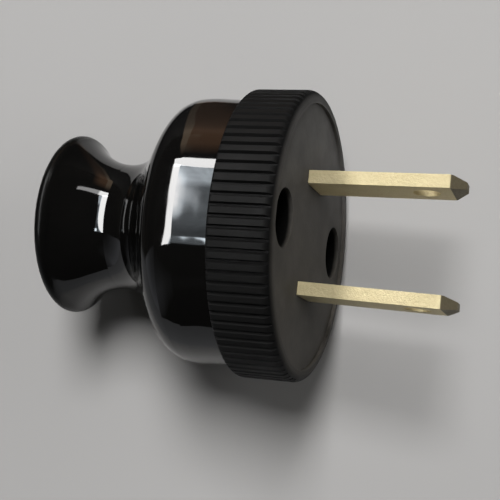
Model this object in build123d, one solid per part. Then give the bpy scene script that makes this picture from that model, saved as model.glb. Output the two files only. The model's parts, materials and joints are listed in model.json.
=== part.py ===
# Two-prong plug: a ribbed base that carries two flat brass blades, closed from behind by a bell-shaped
# cover with a waisted neck and a trumpet-shaped grip. Two screws in deep wells hold the cover to the base.
#
# Lengths are in millimetres. Each piece is drawn on the plug's own axis: Z runs from the grip's end to
# the blade tips, X along the line through the blades and Y along the line through the screw wells.
# The finished plug is then laid down on its side, as it lies on a table.

import os
from math import asin, atan2, cos, degrees, hypot, radians, sin, tan

from build123d import *

# Main lengths along the axis
COVER_LENGTH = 23.3
BASE_THICKNESS = 6.6
RECESS_DEPTH = 0.4

# Ribbed disc of the base
DISC_R = 16.65
DISC_EDGE = 0.4
FRONT_ROUND = 1.0
RECESS_R = 15.2
RIB_COUNT = 90
RIB_DEPTH = 0.35
RIB_CREST_SHARE = 0.56
RIB_ROOT_SHARE = 0.16

# Outside of the cover
SKIRT_R = 15.35
SKIRT_LEAN = 2.56
SKIRT_LENGTH = 4.15
SKIRT_EDGE = 0.4
EASE_ROUND = 12.5
EASE_TURN = 9.0
SHOULDER_ROUND = 3.3
CONE_ANGLE = 57.0
NECK_R = 7.5
NECK_HEIGHT = 7.35
GRIP_R = 10.8
GRIP_RIM_ROUND = 0.85

# Inside of the cover
SKIRT_WALL = 2.65
CORD_HOLE_R = 4.5
CORD_MOUTH_ROUND = 2.0

# Blades, with the standard width, thickness and spacing
BLADE_WIDTH = 6.3
BLADE_THICKNESS = 1.5
BLADE_SPACING = 12.7
BLADE_REACH = 17.4
BLADE_LEANS = (0.2, 1.6)
BLADE_HOLE_R = 1.55
BLADE_HOLE_REACH = 12.9
TIP_CUT_LENGTH = 1.6
TIP_CUT_WIDTH = 2.2
TIP_BEVEL_LENGTH = 1.3
TIP_BEVEL_DEPTH = 0.35
BEND_INNER_R = 0.3
FOOT_LAP = 0.8
SLOT_CLEARANCE = 0.1
SLOT_RELIEF = 0.5

# Assembly screws, their wells and the inserts that they turn into
WELL_SPACING = 21.8
WELL_R = 3.2
WELL_DEPTH = 5.0
SCREW_R = 1.5
SCREW_HEAD_R = 2.7
SCREW_HEAD_HEIGHT = 1.9
SCREW_GRIP = 4.4
CROSS_WIDTH = 0.8
CROSS_SPAN = 3.0
CROSS_DEPTH = 1.1
INSERT_R = 2.1
INSERT_LENGTH = 5.0
BOSS_R = 3.7

# Terminal screws and washers
TERMINAL_R = 1.5
TERMINAL_HEAD_R = 2.3
TERMINAL_HEAD_HEIGHT = 1.7
TERMINAL_TAIL = 1.4
TERMINAL_SLOT_WIDTH = 0.7
TERMINAL_SLOT_DEPTH = 0.8
TERMINAL_CLEARANCE = 0.25
WASHER_R = 2.4
WASHER_THICKNESS = 0.6

# Register of the base inside the skirt
SPIGOT_HEIGHT = 1.4
SPIGOT_WALL = 1.3
SPIGOT_CLEARANCE = 0.15
SPIGOT_GAP = 0.4

# Shared clearances and cut edges
HOLE_CLEARANCE = 0.15
THREAD_CLEARANCE = 0.03
TAIL_CLEARANCE = 0.5
HEAD_CHAMFER = 0.5
SCREW_POINT = 0.3

# Turn of the blades and wells about the axis as the plug lies on the table, in degrees
LYING_ROLL = 10.0

# Levels worked out from the lengths
JOINT_Z = COVER_LENGTH
FACE_Z = JOINT_Z + BASE_THICKNESS
RIM_Z = FACE_Z + RECESS_DEPTH
FOOT_Z = JOINT_Z + BLADE_THICKNESS
SEAT_Z = FACE_Z - WELL_DEPTH
EASE_Z = JOINT_Z - SKIRT_LENGTH
SHOULDER_Z = EASE_Z - EASE_ROUND * sin(radians(EASE_TURN))

# Radii and places worked out from the sizes above
CAVITY_R = SKIRT_R - SKIRT_WALL
FOOT_END = CAVITY_R + FOOT_LAP
BLADE_INNER = BLADE_SPACING / 2 - BLADE_THICKNESS / 2
BLADE_OUTER = BLADE_SPACING / 2 + BLADE_THICKNESS / 2
BEND_OUTER_R = BEND_INNER_R + BLADE_THICKNESS
TERMINAL_X = CAVITY_R - TERMINAL_CLEARANCE - WASHER_R
TAIL_Z = FOOT_Z + TERMINAL_TAIL
WELL_Y = WELL_SPACING / 2
CORD_HOLE_TOP = SHOULDER_Z - (CAVITY_R - CORD_HOLE_R) / tan(radians(CONE_ANGLE))

# Blades, screws, washers and inserts come in pairs, half a turn apart
TURNS = (0, 180)


def cylinder(x, y, bottom, top, radius):
    """Upright cylinder between two levels."""
    return Pos(x, y, (bottom + top) / 2) * Cylinder(radius, top - bottom)


def block(left, right, width, bottom, top):
    """Upright block between two places along X and two levels, centred across Y."""
    return Pos((left + right) / 2, 0, (bottom + top) / 2) * Box(right - left, width, top - bottom)


def paired(piece):
    """The piece and its copy half a turn away, as one cutter."""
    first, second = (Rot(0, 0, turn) * piece for turn in TURNS)
    return first + second


def outward(angle):
    """Direction that leaves the axis at an angle above level, in an outline of radius and height."""
    return Vector(cos(radians(angle)), sin(radians(angle)))


def turned(edges):
    """Solid turned about the axis from a closed outline of radius and height."""
    return revolve(Plane.XZ * make_face(edges), Axis.Z)


def groove():
    """Cutter for the groove between two ribs, along the whole side of the disc."""
    pitch = 360 / RIB_COUNT
    root = pitch * RIB_ROOT_SHARE / 2
    mouth = pitch * (1 - RIB_CREST_SHARE) / 2
    root_r = DISC_R - RIB_DEPTH
    outside_r = DISC_R + RIB_DEPTH
    outside = 2 * mouth - root
    points = []
    for radius, angle in ((root_r, -root), (root_r, root), (outside_r, outside), (outside_r, -outside)):
        turn = radians(pitch / 2 + angle)
        points.append((radius * cos(turn), radius * sin(turn), JOINT_Z))
    return extrude(make_face(Polyline(*points, close=True)), RIM_Z - JOINT_Z, dir=(0, 0, 1))


def ribbed_disc():
    """Disc with rounded edges and a groove between each two ribs, which runs out on the rounded edges."""
    back = CenterArc((DISC_R - DISC_EDGE, JOINT_Z + DISC_EDGE), DISC_EDGE, -90, 90)
    front = CenterArc((DISC_R - FRONT_ROUND, RIM_Z - FRONT_ROUND), FRONT_ROUND, 0, 90)
    middle = Polyline(front @ 1, (0, RIM_Z), (0, JOINT_Z), back @ 0)
    disc = turned([back, Line(back @ 1, front @ 0), front, middle])
    cutter = groove()
    return disc - [Rot(0, 0, 360 * number / RIB_COUNT) * cutter for number in range(RIB_COUNT)]


def spigot():
    """Register ring behind the disc, open at the blades' feet and at the cover's bosses."""
    outer_r = CAVITY_R - SPIGOT_CLEARANCE
    bottom = JOINT_Z - SPIGOT_HEIGHT
    ring = cylinder(0, 0, bottom, JOINT_Z, outer_r)
    ring -= cylinder(0, 0, bottom, JOINT_Z, outer_r - SPIGOT_WALL)
    ring -= block(-FOOT_END, FOOT_END, BLADE_WIDTH + 2 * SPIGOT_GAP, bottom, JOINT_Z)
    return ring - paired(cylinder(0, WELL_Y, bottom, JOINT_Z, BOSS_R + SPIGOT_GAP))


def base():
    """Front moulding: ribbed disc, recessed face, wells, blade slots and seats for the blades' feet."""
    slot_width = BLADE_WIDTH + 2 * SLOT_CLEARANCE
    slot_left = BLADE_INNER - SLOT_CLEARANCE
    slot_right = BLADE_OUTER + SLOT_CLEARANCE
    well = cylinder(0, WELL_Y, SEAT_Z, FACE_Z, WELL_R)
    well += cylinder(0, WELL_Y, JOINT_Z, SEAT_Z, SCREW_R + HOLE_CLEARANCE)
    slot = block(slot_left, slot_right, slot_width, JOINT_Z, FACE_Z)
    slot += block(slot_left, slot_right + SLOT_RELIEF, slot_width, JOINT_Z, FOOT_Z + SLOT_RELIEF)
    slot += block(slot_left, FOOT_END + SLOT_CLEARANCE, slot_width, JOINT_Z, FOOT_Z)
    slot += cylinder(TERMINAL_X, 0, FOOT_Z, TAIL_Z + TAIL_CLEARANCE, TERMINAL_R + TAIL_CLEARANCE)
    recess = cylinder(0, 0, FACE_Z, RIM_Z, RECESS_R)
    return ribbed_disc() - [recess, paired(well), paired(slot)] + spigot()


def skirt_outline():
    """Rounds of the leaning skirt: at the joint, the gentle ease and the shoulder, with no kink between."""
    lean = radians(SKIRT_LEAN)
    eased = SKIRT_LEAN - EASE_TURN
    edge_x = SKIRT_R - SKIRT_EDGE * (1 - sin(lean)) / cos(lean)
    edge = CenterArc((edge_x, JOINT_Z - SKIRT_EDGE), SKIRT_EDGE, 90, SKIRT_LEAN - 90)
    ease_start = Vector(SKIRT_R + SKIRT_LENGTH * tan(lean), EASE_Z)
    ease = CenterArc(ease_start - outward(SKIRT_LEAN) * EASE_ROUND, EASE_ROUND, SKIRT_LEAN, -EASE_TURN)
    shoulder_centre = ease @ 1 - outward(eased) * SHOULDER_ROUND
    shoulder = CenterArc(shoulder_centre, SHOULDER_ROUND, eased, -eased - CONE_ANGLE)
    return edge, ease, shoulder


def cover_outside():
    """Outside of the cover, filled to the axis: skirt, shoulder, cone, neck and flared grip in one line."""
    cone = radians(CONE_ANGLE)
    edge, ease, shoulder = skirt_outline()
    cone_top = shoulder @ 1

    # The neck's round touches the cone on one side and the neck's own radius on the other
    neck_round = (NECK_R - cone_top.X) * cos(cone) + (cone_top.Y - NECK_HEIGHT) * sin(cone)
    neck_round /= 1 - cos(cone)
    neck_centre = Vector(NECK_R + neck_round, NECK_HEIGHT)

    # The flare's round runs from the neck into the rounded rim at the grip's end
    rim_centre = Vector(GRIP_R - GRIP_RIM_ROUND, GRIP_RIM_ROUND)
    drop = NECK_HEIGHT - rim_centre.Y
    step = rim_centre.X - NECK_R
    flare_round = (drop**2 + step**2 - GRIP_RIM_ROUND**2) / (2 * (GRIP_RIM_ROUND + step))
    flare_centre = Vector(NECK_R + flare_round, NECK_HEIGHT)
    flare_turn = degrees(atan2(drop, flare_centre.X - rim_centre.X))

    neck = CenterArc(neck_centre, neck_round, 180 - CONE_ANGLE, CONE_ANGLE)
    flare = CenterArc(flare_centre, flare_round, 180, flare_turn)
    rim = CenterArc(rim_centre, GRIP_RIM_ROUND, flare_turn, -90 - flare_turn)
    skirt = [edge, Line(edge @ 1, ease @ 0), ease, shoulder]
    grip = [Line(shoulder @ 1, neck @ 0), neck, flare, rim]
    middle = Polyline(rim @ 1, (0, 0), (0, JOINT_Z), edge @ 0)
    return turned([*skirt, *grip, middle])


def cover_inside():
    """Inside of the cover: wiring space, funnel and cord hole with a rounded mouth."""
    mouth_r = CORD_HOLE_R + CORD_MOUTH_ROUND
    mouth = CenterArc((mouth_r, CORD_MOUTH_ROUND), CORD_MOUTH_ROUND, -90, -90)
    walls = Polyline(
        mouth @ 1,
        (CORD_HOLE_R, CORD_HOLE_TOP),
        (CAVITY_R, SHOULDER_Z),
        (CAVITY_R, JOINT_Z),
        (0, JOINT_Z),
        (0, 0),
        mouth @ 0,
    )
    return turned([mouth, walls])


def cover():
    """Rear moulding: hollow bell and grip, with two bosses that hold the threaded inserts."""
    outside = cover_outside()
    bosses = paired(cylinder(0, WELL_Y, CORD_HOLE_TOP, JOINT_Z, BOSS_R)) & outside
    holes = paired(cylinder(0, WELL_Y, JOINT_Z - INSERT_LENGTH, JOINT_Z, INSERT_R))
    return outside - cover_inside() + bosses - holes


def blade_side(lean):
    """Side outline of a blade: the foot, its bend, the straight root in the slot and the leaning prong."""
    along = Vector(sin(radians(lean)), cos(radians(lean)))
    across = Vector(along.Y, -along.X)
    inner = Vector(BLADE_INNER, FACE_Z)
    outer = Vector(BLADE_OUTER, FACE_Z)
    bend_outer = CenterArc((BLADE_INNER + BEND_OUTER_R, JOINT_Z + BEND_OUTER_R), BEND_OUTER_R, 180, 90)
    bend_inner = CenterArc((BLADE_OUTER + BEND_INNER_R, FOOT_Z + BEND_INNER_R), BEND_INNER_R, 270, -90)
    foot = Polyline(bend_outer @ 1, (FOOT_END, JOINT_Z), (FOOT_END, FOOT_Z), bend_inner @ 0)
    prong = Polyline(
        bend_inner @ 1,
        outer,
        outer + along * (BLADE_REACH - TIP_BEVEL_LENGTH),
        outer + along * BLADE_REACH - across * TIP_BEVEL_DEPTH,
        inner + along * BLADE_REACH + across * TIP_BEVEL_DEPTH,
        inner + along * (BLADE_REACH - TIP_BEVEL_LENGTH),
        inner,
        bend_outer @ 0,
    )
    return make_face([bend_outer, foot, bend_inner, prong])


def blade_front():
    """Front outline of a blade across its width, with the corners of the tip cut."""
    half = BLADE_WIDTH / 2
    tip = FACE_Z + BLADE_REACH
    return make_face(
        Polyline(
            (-half, JOINT_Z),
            (half, JOINT_Z),
            (half, tip - TIP_CUT_LENGTH),
            (half - TIP_CUT_WIDTH, tip),
            (TIP_CUT_WIDTH - half, tip),
            (-half, tip - TIP_CUT_LENGTH),
            close=True,
        )
    )


def blade(lean):
    """Flat brass blade with a bent foot, a tapped hole in the foot and a round hole near the tip."""
    body = extrude(Plane.XZ * blade_side(lean), BLADE_WIDTH / 2, both=True)
    body &= extrude(Plane.YZ * blade_front(), FOOT_END + BLADE_REACH)
    hole_z = FACE_Z + BLADE_HOLE_REACH
    body -= Pos(BLADE_SPACING / 2, 0, hole_z) * Rot(0, 90, 0) * Cylinder(BLADE_HOLE_R, BLADE_SPACING)
    return body - cylinder(TERMINAL_X, 0, JOINT_Z, TAIL_Z, TERMINAL_R + THREAD_CLEARANCE)


def screw(shank_r, length, head_r, head_height):
    """Pan-head screw with its seat at height 0 and its shank pointing down."""
    head = cylinder(0, 0, 0, head_height, head_r)
    head = chamfer(head.edges().group_by(Axis.Z)[-1], HEAD_CHAMFER)
    shank = cylinder(0, 0, -length, 0, shank_r)
    shank = chamfer(shank.edges().group_by(Axis.Z)[0], SCREW_POINT)
    return head + shank


def assembly_screw():
    """Screw with a cross recess that pulls the cover's insert towards the base."""
    body = screw(SCREW_R, SEAT_Z - JOINT_Z + SCREW_GRIP, SCREW_HEAD_R, SCREW_HEAD_HEIGHT)
    cross_floor = SCREW_HEAD_HEIGHT - CROSS_DEPTH
    bar = block(-CROSS_SPAN / 2, CROSS_SPAN / 2, CROSS_WIDTH, cross_floor, SCREW_HEAD_HEIGHT)
    return Pos(0, WELL_Y, SEAT_Z) * (body - bar - Rot(0, 0, 90) * bar)


def threaded_insert():
    """Brass insert, flush with the end of its boss."""
    bottom = JOINT_Z - INSERT_LENGTH
    bore = cylinder(0, WELL_Y, bottom, JOINT_Z, SCREW_R + THREAD_CLEARANCE)
    return cylinder(0, WELL_Y, bottom, JOINT_Z, INSERT_R) - bore


def terminal_screw():
    """Slotted screw that clamps a wire between its washer and the blade's foot."""
    length = WASHER_THICKNESS + BLADE_THICKNESS + TERMINAL_TAIL
    body = screw(TERMINAL_R, length, TERMINAL_HEAD_R, TERMINAL_HEAD_HEIGHT)
    slot_floor = TERMINAL_HEAD_HEIGHT - TERMINAL_SLOT_DEPTH
    body -= block(-TERMINAL_HEAD_R, TERMINAL_HEAD_R, TERMINAL_SLOT_WIDTH, slot_floor, TERMINAL_HEAD_HEIGHT)
    return Pos(TERMINAL_X, 0, JOINT_Z - WASHER_THICKNESS) * Rot(180, 0, 0) * body


def terminal_washer():
    """Flat washer between the terminal screw's head and the blade's foot."""
    bottom = JOINT_Z - WASHER_THICKNESS
    hole = cylinder(TERMINAL_X, 0, bottom, JOINT_Z, TERMINAL_R + HOLE_CLEARANCE)
    return cylinder(TERMINAL_X, 0, bottom, JOINT_Z, WASHER_R) - hole


def pieces():
    """Every piece of the plug by name, on the plug's own axis."""
    named = {"base": base(), "cover": cover()}
    for number, (turn, lean) in enumerate(zip(TURNS, BLADE_LEANS), start=1):
        turned_over = Rot(0, 0, turn)
        named[f"blade_{number}"] = turned_over * blade(lean)
        named[f"terminal_screw_{number}"] = turned_over * terminal_screw()
        named[f"terminal_washer_{number}"] = turned_over * terminal_washer()
        named[f"assembly_screw_{number}"] = turned_over * assembly_screw()
        named[f"threaded_insert_{number}"] = turned_over * threaded_insert()
    return named


def lying_plane():
    """Frame of the plug as it lies on the cover's shoulder and on the back edge of the ribbed disc."""
    shoulder_centre = skirt_outline()[-1].arc_center
    rise = DISC_R - DISC_EDGE - shoulder_centre.X
    run = JOINT_Z + DISC_EDGE - shoulder_centre.Y
    tilt = atan2(rise, run) + asin((DISC_EDGE - SHOULDER_ROUND) / hypot(rise, run))
    axis = Vector(cos(tilt), 0, sin(tilt))
    upward = Vector(-sin(tilt), 0, cos(tilt))
    roll = radians(LYING_ROLL)
    blade_line = Vector(0, 1, 0) * cos(roll) - upward * sin(roll)
    return Plane(origin=(0, 0, 0), x_dir=blade_line, z_dir=axis)


def laid_down(named):
    """The pieces laid on their side, with the origin under the middle of the plug at table height."""
    lying = {name: lying_plane().location * piece for name, piece in named.items()}
    boxes = [piece.bounding_box() for piece in lying.values()]
    low = [min(sizes) for sizes in zip(*(tuple(box.min) for box in boxes))]
    high = [max(sizes) for sizes in zip(*(tuple(box.max) for box in boxes))]
    drop = Pos(-(low[0] + high[0]) / 2, -(low[1] + high[1]) / 2, -low[2])
    return {name: drop * piece for name, piece in lying.items()}


os.makedirs("parts", exist_ok=True)
for name, piece in laid_down(pieces()).items():
    export_step(piece, f"parts/{name}.step")
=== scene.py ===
# Looks of the two-prong plug, which lies on a pale table and is seen from almost straight above.
# Soft lamps light the matte surfaces. The glossy cover mirrors a bright window, a strip and a darker room,
# and the room is a painted reflection on the world and on the table.
# Lengths are in metres, in the plug's own frame, and colours are linear.

import json
from math import cos, radians, sin

import bpy
from mathutils import Matrix, Vector

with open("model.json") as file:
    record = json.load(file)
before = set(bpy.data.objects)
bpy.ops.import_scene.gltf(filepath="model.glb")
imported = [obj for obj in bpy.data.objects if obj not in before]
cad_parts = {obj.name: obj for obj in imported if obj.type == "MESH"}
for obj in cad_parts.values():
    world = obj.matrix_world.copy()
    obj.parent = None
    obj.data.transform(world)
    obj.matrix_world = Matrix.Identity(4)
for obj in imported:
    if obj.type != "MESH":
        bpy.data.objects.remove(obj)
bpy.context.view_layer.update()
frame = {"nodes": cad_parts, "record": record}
nodes = frame["nodes"]

# Camera, at the photograph's viewing angle
CAMERA_PLACE = Vector((0.017437, 0.000336, 0.139825))
CAMERA_AIM = Vector((-0.002515, -0.002206, 0.0))
CAMERA_HEADING = radians(3.129)
CAMERA_LENS = 77.1
CAMERA_SENSOR = 36.0
CAMERA_CLIP_START = 0.01

# Plug's own axes, from its mounts: the axis, the line through the blades and the line through the wells
mounts = {mount["name"]: mount for mount in frame["record"]["mounts"]}
AXIS = Vector(mounts["blades"]["axis"]).normalized()
RIM_POINT = Vector(mounts["front_rim"]["pos_m"])
BLADE_MIDDLE = Vector(mounts["blades"]["pos_m"])
RIM_CENTRE = BLADE_MIDDLE + AXIS * AXIS.dot(RIM_POINT - BLADE_MIDDLE)
BLADE_LINE = (RIM_POINT - RIM_CENTRE).normalized()
WELL_LINE = AXIS.cross(BLADE_LINE)
PLUG_TURN = Matrix((BLADE_LINE, WELL_LINE, AXIS)).transposed()

# Zones of the plug where one look gives way to another, as radii about the axis
RECESS_END = (0.0153, 0.0155)
RIM_END = (0.0157, 0.0163)
RIB_RADII = (0.0163, 0.01665)

# Zones as distances behind the front rim, with what is ahead of it below zero, and along the blade line
FACE_END = (0.0005, 0.0010)
GRIP_RIM = (0.0284, 0.0292)
TIP_CUT = (-0.0155, -0.0154)
# The face is painted lighter from the first height to the second, as painted light.
FACE_LIGHT_HEIGHTS = (-0.002, 0.014)

# Window that the cover mirrors: its plane, and places along it, from its top to its foot, and across it
WINDOW_MIDDLE = Vector((-0.2899, 0.1979, 0.3945))
WINDOW_ALONG = Vector((-0.0815, -0.9043, 0.4191)).normalized()
WINDOW_BACK = Vector((-0.5663, 0.3880, 0.7271)).normalized()
WINDOW_TOP = -0.268
WINDOW_FOOT = 0.350
WINDOW_LEFT = -0.075
WINDOW_RIGHT = 0.095
WINDOW_RADIANCE = 17.0

# Bright side of the window, which bows away above and below its middle and fades into the pane
SIDE_MIDDLE = 0.0435
SIDE_HALF_WIDTH = 0.031
SIDE_SOFTNESS = 0.004
SIDE_GLOW_START = 0.0245
SIDE_GLOW_WIDTH = 0.013
SIDE_BOW = 0.070
SIDE_BOW_MIDDLE = 0.035
SIDE_BOW_ABOVE = 0.412
SIDE_BOW_BELOW = 0.285

# Cloudy pane and sill of the window, with their light as shares of the bright side's
PANE_TOP_FADE = (-0.14, -0.09)
PANE_TOP_LIGHT = 0.38
PANE_LIGHT = 0.085
PANE_FOOT_FADE = (0.14, 0.24)
PANE_FOOT_SHARE = 0.5
CLOUD_SCALE = 14.0
CLOUD_STRETCH = 10.0
CLOUD_RANGE = (0.35, 0.65)
CLOUD_SHARES = (0.80, 1.20)
SILL_PLACE = 0.315
SILL_HALF_WIDTH = 0.028
SILL_SOFTNESS = 0.006
SILL_LIGHT = 0.035
SILL_CORNER = 0.058
SILL_CORNER_SOFTNESS = 0.0015

# Strip along the top of the window, as its start, end and width on the same plane
STRIP_START = (-0.283, -0.024)
STRIP_END = (-0.568, 0.720)
STRIP_WIDTH = 0.086
STRIP_RADIANCE = 15.2
STRIP_FADE = (0.14, 0.18)
STRIP_FAR_LIGHT = 0.3
WHITE_LIGHT = (1.0, 0.99, 0.985)
BLUE_LIGHT = (0.84, 0.93, 1.0)

# Paper around the plug as the cover mirrors it, and how the floor glows beyond its edge with a painted
# reflection of the far room, darker near the edge as painted shade
PAPER_EDGE = 0.0275
PAPER_EDGE_SOFTNESS = 0.001
FAR_VIEWPOINT = Vector((-0.006, 0.011, 0.0))
FAR_FADE = (0.060, 0.080)
FAR_NEAR_SHARE = 0.05
FAR_BRIGHT_DISTANCE = 0.230

# Far room, a painted reflection, as angles from straight behind the plug towards the grip's side, with soft
# edges in radians
BROWN_START = radians(10)
BROWN_FADE = 0.2
BROWN_END = radians(18.6)
STREAK_END = radians(23.4)
STREAK_SOFTNESS = 0.005
FAR_LEAN = 0.2
DARK_END = radians(104)
FRONT_FADE = 0.1
WALL_START_FADE = 0.03
WALL_END = radians(140)
WALL_END_FADE = 0.2

# Upper ends of the far room and its wall, as the rise of a direction of length one
FAR_RISES = (0.14, 0.33)
WALL_RISES = (0.1, 0.7)

# Colours of the painted far room
FAR_BROWN = (0.64, 0.35, 0.20)
FAR_STREAK = (1.05, 0.77, 0.53)
FAR_DARK = (0.035, 0.032, 0.028)
FAR_FRONT = (0.32, 0.325, 0.335)
GREY_WALL = (0.42, 0.43, 0.46)
ROOM_COLOUR = (0.024, 0.023, 0.021)

# Soft lamps, which light matte surfaces and throw the shadow towards the foot of the picture
LIT_POINT = Vector((-0.0054, 0.003, 0.0292))
KEY_PLACE = Vector((0.005, 0.30, 0.572))
KEY_WIDTH = 0.16
KEY_LENGTH = 0.28
KEY_RADIANCE = 24.3
FILL_PLACE = Vector((0.42, 0.14, 0.24))
FILL_WIDTH = 0.30
FILL_LENGTH = 0.30
FILL_RADIANCE = 1.6
LAMP_COLOUR = (1.0, 0.99, 0.98)

# Energy of a flat light for each unit of its radiance and area
FLAT_LIGHT_ENERGY = 4

# Pale table under the plug, which stays pale far off
FLOOR_HALF_WIDTH = 3.0
FLOOR_COLOUR = (0.455, 0.452, 0.450)
FLOOR_DARKER_SHARE = 0.97
FLOOR_TONE_SCALE = 30.0
FLOOR_ROUGHNESS = 0.8
FLOOR_SPECULAR = 0.2
PALE_FADE = (0.12, 0.45)
BLACK = (0.0, 0.0, 0.0)

# Polished black, clean and smudged, and dulled along the rim of the grip
POLISH_COLOURS = ((0.0022, 0.0022, 0.0022), (0.004, 0.0038, 0.0036))
POLISH_ROUGHNESS = (0.02, 0.07)
POLISH_SPECULAR = 0.5
POLISH_IOR = 1.48
SMUDGE_SCALE = 220.0
SMUDGE_RANGE = (0.35, 0.7)
WORN_ROUGHNESS = 0.25
WORN_SPECULAR = 0.12
WAVE_SCALE = 130.0
WAVE_HEIGHT = 0.00006

# Matte black: the ribs from root to crest, with painted shade at their roots, and the face from its lower to
# its upper part, painted lighter upwards as painted light, in plain and dust-covered tones
RIB_ROOT_SHADE_AND_CREST_COLOURS = ((0.0030, 0.0030, 0.0030), (0.0050, 0.0050, 0.0049))
BARE_SHADED_TO_LIT_COLOURS = ((0.036, 0.033, 0.028), (0.058, 0.056, 0.055))
DUSTY_SHADED_TO_LIT_COLOURS = ((0.072, 0.067, 0.060), (0.108, 0.106, 0.104))
DUST_SCALE = 240.0
DUST_RANGE = (0.32, 0.68)
RIM_DUST_SHARE = 0.65
MATTE_ROUGHNESS = (0.58, 0.72)
MATTE_SPECULAR = 0.15
MATTE_GRAIN_SCALE = 2600.0
MATTE_GRAIN_HEIGHT = 0.00003
MATTE_GRAIN_STRENGTH = 0.6

# Brass, stained and bright, with painted shade at the blades' tips, where their bevels mirror dark
# surroundings
BRASS_COLOURS = ((0.62, 0.53, 0.30), (0.83, 0.73, 0.47))
BRASS_STAIN_SCALE = 300.0
BRASS_ROUGHNESS = (0.52, 0.74)
BRASS_METALLIC = 0.55
BRASS_GRAIN_SCALE = 2600.0
BRASS_GRAIN_HEIGHT = 0.00014
TIP_SHADE_COLOUR = (0.10, 0.085, 0.055)
TIP_SHADE_SHARE = 0.86

# Plated steel, stained and bright
STEEL_COLOURS = ((0.20, 0.19, 0.17), (0.42, 0.40, 0.37))
STEEL_STAIN_SCALE = 900.0
STEEL_ROUGHNESS = (0.35, 0.55)

# Range that holds most of a noise, and sockets of a colour mix
NOISE_RANGE = (0.3, 0.7)
MIX_COLOUR_INPUTS = (6, 7)
MIX_COLOUR_OUTPUT = 2


def add(tree, kind, **inputs):
    """Node with its inputs set to values or linked to sockets."""
    node = tree.nodes.new(kind)
    for name, value in inputs.items():
        fill(tree, node.inputs[name], value)
    return node


def fill(tree, socket, value):
    """Socket linked to another socket, or set to a value."""
    if isinstance(value, bpy.types.NodeSocket):
        tree.links.new(value, socket)
    else:
        socket.default_value = value


def split(tree, vector):
    """Parts X, Y and Z of a vector."""
    return add(tree, "ShaderNodeSeparateXYZ", Vector=vector).outputs


def work(tree, operation, *values):
    """Result of one arithmetic step."""
    node = tree.nodes.new("ShaderNodeMath")
    node.operation = operation
    for socket, value in zip(node.inputs, values):
        fill(tree, socket, value)
    return node.outputs["Value"]


def product(tree, result, *values):
    """Product of several values."""
    for value in values:
        result = work(tree, "MULTIPLY", result, value)
    return result


def noise(tree, place, scale, detail=3.0, roughness=0.5):
    """Noise value between 0 and 1."""
    node = add(tree, "ShaderNodeTexNoise", Vector=place, Scale=scale, Detail=detail, Roughness=roughness)
    return node.outputs["Fac"]


def spread(tree, value, low, high, to_low, to_high):
    """Value mapped from one range to another, held at the ends."""
    node = tree.nodes.new("ShaderNodeMapRange")
    tree.links.new(value, node.inputs["Value"])
    for name, number in zip(("From Min", "From Max", "To Min", "To Max"), (low, high, to_low, to_high)):
        fill(tree, node.inputs[name], number)
    return node.outputs["Result"]


def step(tree, value, place, softness, before=0.0, after=1.0):
    """Soft step at a place, from one level to another."""
    return spread(tree, value, place - softness, place + softness, before, after)


def blend(tree, factor, *colours):
    """Colour between two colours."""
    node = tree.nodes.new("ShaderNodeMix")
    node.data_type = "RGBA"
    tree.links.new(factor, node.inputs["Factor"])
    for index, colour in zip(MIX_COLOUR_INPUTS, colours):
        fill(tree, node.inputs[index], colour if isinstance(colour, bpy.types.NodeSocket) else (*colour, 1))
    return node.outputs[MIX_COLOUR_OUTPUT]


def bump(tree, height, distance, strength=1.0):
    """Bumped normal from a height between 0 and 1."""
    return add(tree, "ShaderNodeBump", Height=height, Distance=distance, Strength=strength).outputs["Normal"]


def object_place(tree):
    """Place on the object, in the plug's frame."""
    return tree.nodes.new("ShaderNodeTexCoord").outputs["Object"]


def axis_place(tree):
    """Place on the object along the blade line, the well line and the axis, from the middle of the rim."""
    mapping = add(tree, "ShaderNodeMapping", Vector=object_place(tree), Location=RIM_CENTRE)
    mapping.vector_type = "TEXTURE"
    mapping.inputs["Rotation"].default_value = PLUG_TURN.to_euler()
    return mapping.outputs["Vector"]


def axis_zones(tree):
    """Radius about the axis, and distance behind the front rim."""
    parts = split(tree, axis_place(tree))
    squares = [work(tree, "MULTIPLY", parts[name], parts[name]) for name in ("X", "Y")]
    radius = work(tree, "SQRT", work(tree, "ADD", *squares))
    return radius, work(tree, "MULTIPLY", parts["Z"], -1.0)


def place_camera():
    """Camera that looks down on the plug, with the blades to the right."""
    data = bpy.data.cameras.new("camera")
    data.lens = CAMERA_LENS
    data.sensor_width = CAMERA_SENSOR
    data.clip_start = CAMERA_CLIP_START
    camera = bpy.data.objects.new("camera", data)
    back = (CAMERA_PLACE - CAMERA_AIM).normalized()
    heading = Vector((-sin(CAMERA_HEADING), cos(CAMERA_HEADING), 0))
    right = heading.cross(back).normalized()
    turn = Matrix((right, back.cross(right), back)).transposed()
    camera.matrix_world = Matrix.Translation(CAMERA_PLACE) @ turn.to_4x4()
    bpy.context.scene.collection.objects.link(camera)
    bpy.context.scene.camera = camera


def add_light(name, middle, turn, size_x, size_y, radiance):
    """Flat light that the camera doesn't see."""
    data = bpy.data.lights.new(name, "AREA")
    data.shape = "RECTANGLE"
    data.size = size_x
    data.size_y = size_y
    data.energy = radiance * size_x * size_y * FLAT_LIGHT_ENERGY
    light = bpy.data.objects.new(name, data)
    light.matrix_world = Matrix.Translation(middle) @ turn.to_4x4()
    light.visible_camera = False
    bpy.context.scene.collection.objects.link(light)
    return light


def add_lamp(name, place, width, length, radiance):
    """Soft lamp that faces the plug and lights matte surfaces only."""
    turn = (place - LIT_POINT).to_track_quat("Z", "Y").to_matrix()
    light = add_light(name, place, turn, width, length, radiance)
    light.visible_glossy = False
    light.data.color = LAMP_COLOUR


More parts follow.
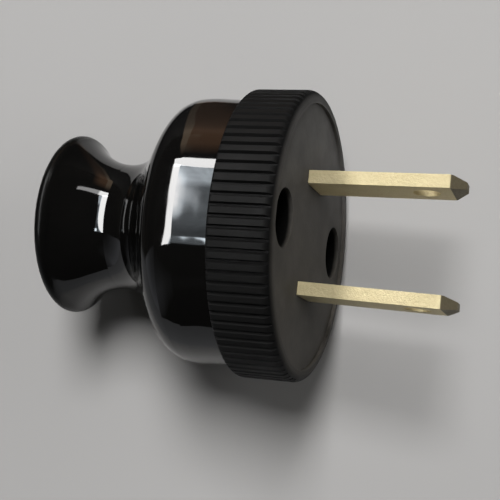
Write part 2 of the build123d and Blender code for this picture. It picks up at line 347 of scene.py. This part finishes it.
def add_card(name, start, end, width, radiance):
    """Light on the window's plane, from a start to an end along and across it, seen in reflections only."""
    across = WINDOW_BACK.cross(WINDOW_ALONG)
    first, last = (WINDOW_MIDDLE + WINDOW_ALONG * place[0] + across * place[1] for place in (start, end))
    run = (last - first).normalized()
    turn = Matrix((run, WINDOW_BACK.cross(run), WINDOW_BACK)).transposed()
    light = add_light(name, (first + last) / 2, turn, (last - first).length, width, radiance)
    light.visible_diffuse = False
    light.data.use_nodes = True
    return light.data.node_tree


def light_place(tree):
    """Place on a light along its length and across it, each from 0 to 1."""
    parts = split(tree, tree.nodes.new("ShaderNodeNewGeometry").outputs["Parametric"])
    return parts["X"], parts["Y"]


def from_bright_side(tree, along, across):
    """Distance from the middle of the window's bright side, with its bow."""
    above = work(tree, "DIVIDE", work(tree, "SUBTRACT", SIDE_BOW_MIDDLE, along), SIDE_BOW_ABOVE)
    below = work(tree, "DIVIDE", work(tree, "SUBTRACT", along, SIDE_BOW_MIDDLE), SIDE_BOW_BELOW)
    reach = work(tree, "MAXIMUM", above, below)
    bow = product(tree, reach, reach, SIDE_BOW)
    return work(tree, "ADD", work(tree, "SUBTRACT", across, SIDE_MIDDLE), bow)


def pane_haze(tree, along, from_side):
    """Cloudy light of the pane, brighter at its top and dimmer at its foot."""
    top = spread(tree, along, *PANE_TOP_FADE, PANE_TOP_LIGHT, PANE_LIGHT)
    foot = spread(tree, along, *PANE_FOOT_FADE, 1.0, PANE_FOOT_SHARE)
    stretched = work(tree, "MULTIPLY", from_side, CLOUD_STRETCH)
    swirl = add(tree, "ShaderNodeCombineXYZ", X=along, Y=stretched).outputs["Vector"]
    cloud = spread(tree, noise(tree, swirl, CLOUD_SCALE, roughness=0.6), *CLOUD_RANGE, *CLOUD_SHARES)
    return product(tree, top, foot, cloud)


def sill_glow(tree, along, across):
    """Light of the sill, with a bright corner."""
    from_sill = work(tree, "ABSOLUTE", work(tree, "SUBTRACT", along, SILL_PLACE))
    sill = step(tree, from_sill, SILL_HALF_WIDTH, SILL_SOFTNESS, 1.0, 0.0)
    corner = step(tree, across, SILL_CORNER, SILL_CORNER_SOFTNESS, SILL_LIGHT, 1.0)
    return work(tree, "MULTIPLY", sill, corner)


def add_window():
    """Window with one bright side, a cloudy pane and a sill."""
    middle = (WINDOW_LEFT + WINDOW_RIGHT) / 2
    width = WINDOW_RIGHT - WINDOW_LEFT
    tree = add_card("window", (WINDOW_TOP, middle), (WINDOW_FOOT, middle), width, WINDOW_RADIANCE)
    length_share, width_share = light_place(tree)
    along = spread(tree, length_share, 0.0, 1.0, WINDOW_TOP, WINDOW_FOOT)
    across = spread(tree, width_share, 0.0, 1.0, WINDOW_LEFT, WINDOW_RIGHT)
    from_side = from_bright_side(tree, along, across)
    outer = step(tree, from_side, -SIDE_HALF_WIDTH, SIDE_SOFTNESS)
    glow = spread(tree, from_side, SIDE_GLOW_START, SIDE_GLOW_START + SIDE_GLOW_WIDTH, 1.0, 0.0)
    side = product(tree, outer, glow, glow)
    pane = spread(tree, from_side, SIDE_GLOW_START, SIDE_GLOW_START + SIDE_SOFTNESS, 0.0, 1.0)
    inside = work(tree, "ADD", pane_haze(tree, along, from_side), sill_glow(tree, along, across))
    strength = work(tree, "ADD", side, work(tree, "MULTIPLY", pane, inside))
    emission = tree.nodes["Emission"].inputs
    fill(tree, emission["Strength"], strength)
    fill(tree, emission["Color"], blend(tree, pane, WHITE_LIGHT, BLUE_LIGHT))


def add_top_strip():
    """Strip along the top of the window, bright above it and dimmer beyond."""
    tree = add_card("top_strip", STRIP_START, STRIP_END, STRIP_WIDTH, STRIP_RADIANCE)
    length_share = light_place(tree)[0]
    emission = tree.nodes["Emission"].inputs
    fill(tree, emission["Strength"], spread(tree, length_share, *STRIP_FADE, 1.0, STRIP_FAR_LIGHT))
    fill(tree, emission["Color"], (*WHITE_LIGHT, 1))


def far_angle(tree, direction):
    """Angle of a direction from straight behind the plug, towards the side of the grip."""
    parts = split(tree, direction)
    return work(tree, "ARCTAN2", work(tree, "MULTIPLY", parts["X"], -1.0), parts["Y"])


def far_room(tree, direction, front_colour):
    """Painted colours around the plug, seen in reflections: brown behind it with a pale streak, then dark,
    and one more in front.
    """
    angle = far_angle(tree, direction)
    lean = work(tree, "MULTIPLY", split(tree, direction)["Z"], FAR_LEAN)
    leaning = work(tree, "SUBTRACT", angle, lean)
    streak = step(tree, leaning, BROWN_END, STREAK_SOFTNESS)
    beyond_streak = step(tree, leaning, STREAK_END, STREAK_SOFTNESS)
    before_brown = spread(tree, angle, BROWN_START - BROWN_FADE, BROWN_START, 1.0, 0.0)
    dark = work(tree, "MAXIMUM", beyond_streak, before_brown)
    behind = blend(tree, dark, blend(tree, streak, FAR_BROWN, FAR_STREAK), FAR_DARK)
    front = spread(tree, work(tree, "ABSOLUTE", angle), DARK_END, DARK_END + FRONT_FADE, 0.0, 1.0)
    return blend(tree, front, behind, front_colour)


def grey_wall(tree, direction):
    """Share of a grey wall beside the plug, which fades upwards."""
    angle = far_angle(tree, direction)
    start = spread(tree, angle, DARK_END, DARK_END + WALL_START_FADE, 0.0, 1.0)
    end = spread(tree, angle, WALL_END, WALL_END + WALL_END_FADE, 1.0, 0.0)
    top = spread(tree, split(tree, direction)["Z"], *WALL_RISES, 1.0, 0.0)
    return product(tree, start, end, top)


def make_room():
    """Dim room. What mirrors it shows a painted far room and a painted grey wall, and the camera sees it
    pale.
    """
    world = bpy.data.worlds.new("room")
    world.use_nodes = True
    tree = world.node_tree
    direction = tree.nodes.new("ShaderNodeTexCoord").outputs["Generated"]
    rays = tree.nodes.new("ShaderNodeLightPath").outputs
    low = spread(tree, split(tree, direction)["Z"], *FAR_RISES, 1.0, 0.0)
    low = work(tree, "MULTIPLY", low, rays["Is Glossy Ray"])
    wall = work(tree, "MULTIPLY", grey_wall(tree, direction), rays["Is Glossy Ray"])
    room = blend(tree, low, ROOM_COLOUR, far_room(tree, direction, ROOM_COLOUR))
    room = blend(tree, wall, room, GREY_WALL)
    room = blend(tree, rays["Is Camera Ray"], room, FLOOR_COLOUR)
    fill(tree, tree.nodes["Background"].inputs["Color"], room)
    bpy.context.scene.world = world


def light_scene():
    """Soft lamps, the lights that the cover mirrors, and the room."""
    add_lamp("key", KEY_PLACE, KEY_WIDTH, KEY_LENGTH, KEY_RADIANCE)
    add_lamp("fill", FILL_PLACE, FILL_WIDTH, FILL_LENGTH, FILL_RADIANCE)
    add_window()
    add_top_strip()
    make_room()


def new_material(name):
    """New material with its node tree and its shader's inputs."""
    material = bpy.data.materials.new(name)
    material.use_nodes = True
    return material, material.node_tree, material.node_tree.nodes["Principled BSDF"].inputs


def gloss_black():
    """Polished black moulding, slightly wavy and smudged, and dulled along the rim of the grip."""
    material, tree, shader = new_material("polished_black")
    place = object_place(tree)
    smudge = noise(tree, place, SMUDGE_SCALE, detail=4.0, roughness=0.6)
    fill(tree, shader["Base Color"], blend(tree, smudge, *POLISH_COLOURS))
    polish = spread(tree, smudge, *SMUDGE_RANGE, *POLISH_ROUGHNESS)
    worn = spread(tree, axis_zones(tree)[1], *GRIP_RIM, 0.0, WORN_ROUGHNESS)
    fill(tree, shader["Roughness"], work(tree, "ADD", polish, worn))
    specular = spread(tree, worn, 0.0, WORN_ROUGHNESS, POLISH_SPECULAR, WORN_SPECULAR)
    fill(tree, shader["Specular IOR Level"], specular)
    wave = noise(tree, place, WAVE_SCALE, detail=2.0)
    fill(tree, shader["Normal"], bump(tree, wave, WAVE_HEIGHT))
    shader["IOR"].default_value = POLISH_IOR
    return material


def face_share(tree):
    """Share of the face's dust and painted light: all of it within the recess, and part of it on the rim."""
    radius, behind = axis_zones(tree)
    shallow = spread(tree, behind, *FACE_END, 1.0, 0.0)
    recess = work(tree, "MULTIPLY", shallow, spread(tree, radius, *RECESS_END, 1.0, 0.0))
    rim = work(tree, "MULTIPLY", shallow, spread(tree, radius, *RIM_END, RIM_DUST_SHARE, 0.0))
    return work(tree, "MAXIMUM", recess, rim)


def matte_black():
    """Matte black moulding: dark ribs with painted shade at their roots, a charcoal rim and a mottled face
    with dust, painted lighter towards its upper part as painted light.
    """
    material, tree, shader = new_material("matte_black")
    place = object_place(tree)
    # The ribs' roots are painted darker than their crests, as painted shade in the grooves.
    crest = spread(tree, axis_zones(tree)[0], *RIB_RADII, 0.0, 1.0)
    ribs = blend(tree, crest, *RIB_ROOT_SHADE_AND_CREST_COLOURS)
    # The face is painted lighter towards its upper part, as painted light.
    upper = spread(tree, split(tree, axis_place(tree))["X"], *FACE_LIGHT_HEIGHTS, 0.0, 1.0)
    bare_shaded_to_lit = blend(tree, upper, *BARE_SHADED_TO_LIT_COLOURS)
    dusty_shaded_to_lit = blend(tree, upper, *DUSTY_SHADED_TO_LIT_COLOURS)
    dust = noise(tree, place, DUST_SCALE, detail=4.0, roughness=0.65)
    face = blend(tree, spread(tree, dust, *DUST_RANGE, 0.0, 1.0), bare_shaded_to_lit, dusty_shaded_to_lit)
    fill(tree, shader["Base Color"], blend(tree, face_share(tree), ribs, face))
    fill(tree, shader["Roughness"], spread(tree, dust, *NOISE_RANGE, *MATTE_ROUGHNESS))
    grain = noise(tree, place, MATTE_GRAIN_SCALE, roughness=0.6)
    fill(tree, shader["Normal"], bump(tree, grain, MATTE_GRAIN_HEIGHT, MATTE_GRAIN_STRENGTH))
    shader["Specular IOR Level"].default_value = MATTE_SPECULAR
    return material


def brass():
    """Bare brass with a fine shear grain, darker stains, and tips painted dark as painted shade."""
    material, tree, shader = new_material("brass")
    place = object_place(tree)
    stain = noise(tree, place, BRASS_STAIN_SCALE, detail=4.0, roughness=0.6)
    metal = blend(tree, stain, *BRASS_COLOURS)
    # The tips are painted dark, as painted shade of the dark surroundings that their bevels mirror.
    tip_shade = spread(tree, axis_zones(tree)[1], *TIP_CUT, TIP_SHADE_SHARE, 0.0)
    fill(tree, shader["Base Color"], blend(tree, tip_shade, metal, TIP_SHADE_COLOUR))
    grain = noise(tree, place, BRASS_GRAIN_SCALE, detail=4.0, roughness=0.7)
    fill(tree, shader["Roughness"], spread(tree, grain, *NOISE_RANGE, *BRASS_ROUGHNESS))
    fill(tree, shader["Normal"], bump(tree, grain, BRASS_GRAIN_HEIGHT))
    shader["Metallic"].default_value = BRASS_METALLIC
    return material


def screw_steel():
    """Dull plated steel."""
    material, tree, shader = new_material("dull_steel")
    stain = noise(tree, object_place(tree), STEEL_STAIN_SCALE, detail=4.0, roughness=0.6)
    fill(tree, shader["Base Color"], blend(tree, stain, *STEEL_COLOURS))
    fill(tree, shader["Roughness"], spread(tree, stain, *NOISE_RANGE, *STEEL_ROUGHNESS))
    shader["Metallic"].default_value = 1.0
    return material


def vector_length(tree, vector):
    """Length of a vector."""
    node = tree.nodes.new("ShaderNodeVectorMath")
    node.operation = "LENGTH"
    tree.links.new(vector, node.inputs[0])
    return node.outputs["Value"]


def table_paper():
    """Pale table top, pale far off too. Beyond the paper it glows for glossy rays with a painted reflection
    of the far room.
    """
    material, tree, shader = new_material("pale_table")
    place = object_place(tree)
    darker = tuple(value * FLOOR_DARKER_SHARE for value in FLOOR_COLOUR)
    paper = blend(tree, noise(tree, place, FLOOR_TONE_SCALE), darker, FLOOR_COLOUR)
    from_cover = add(tree, "ShaderNodeMapping", Vector=place, Location=-FAR_VIEWPOINT).outputs["Vector"]
    distance = vector_length(tree, from_cover)
    behind = split(tree, place)["Y"]
    edge = step(tree, behind, PAPER_EDGE, PAPER_EDGE_SOFTNESS)
    rays = tree.nodes.new("ShaderNodeLightPath").outputs
    far = work(tree, "MAXIMUM", edge, spread(tree, distance, *FAR_FADE, 0.0, 1.0))
    # Beyond the paper's edge and far off, the table glows for glossy rays with a painted reflection of the
    # far room.
    painted_reflection_share = work(tree, "MULTIPLY", far, rays["Is Glossy Ray"])
    pale = work(tree, "MULTIPLY", rays["Is Camera Ray"], spread(tree, distance, *PALE_FADE, 0.0, 1.0))
    # Near the paper's edge the painted reflection is dimmer, as painted shade.
    shade = spread(tree, behind, PAPER_EDGE, FAR_BRIGHT_DISTANCE, 1.0 - FAR_NEAR_SHARE, 0.0)
    bright = work(tree, "SUBTRACT", 1.0, work(tree, "MULTIPLY", edge, shade))
    shining = work(tree, "ADD", work(tree, "MULTIPLY", painted_reflection_share, bright), pale)
    shown = blend(tree, rays["Is Camera Ray"], far_room(tree, from_cover, FAR_FRONT), paper)
    fill(tree, shader["Base Color"], blend(tree, work(tree, "ADD", painted_reflection_share, pale), paper, BLACK))
    fill(tree, shader["Emission Color"], shown)
    fill(tree, shader["Emission Strength"], shining)
    shader["Roughness"].default_value = FLOOR_ROUGHNESS
    shader["Specular IOR Level"].default_value = FLOOR_SPECULAR
    return material


def make_floor():
    """Plain table under the plug."""
    half = FLOOR_HALF_WIDTH
    mesh = bpy.data.meshes.new("floor")
    corners = [(-half, -half, 0), (half, -half, 0), (half, half, 0), (-half, half, 0)]
    mesh.from_pydata(corners, [], [(0, 1, 2, 3)])
    floor = bpy.data.objects.new("floor", mesh)
    floor.data.materials.append(table_paper())
    bpy.context.scene.collection.objects.link(floor)


def dress_nodes():
    """Each piece takes the material of its record slot."""
    looks = {
        "cover_gloss": gloss_black(),
        "base_matte": matte_black(),
        "brass": brass(),
        "screw_steel": screw_steel(),
    }
    for subpart in frame["record"]["subparts"]:
        piece = nodes[subpart["node"]]
        piece.data.materials.clear()
        piece.data.materials.append(looks[subpart["material_slot"]])


place_camera()
light_scene()
make_floor()
dress_nodes()
bpy.context.scene.view_settings.view_transform = "Standard"
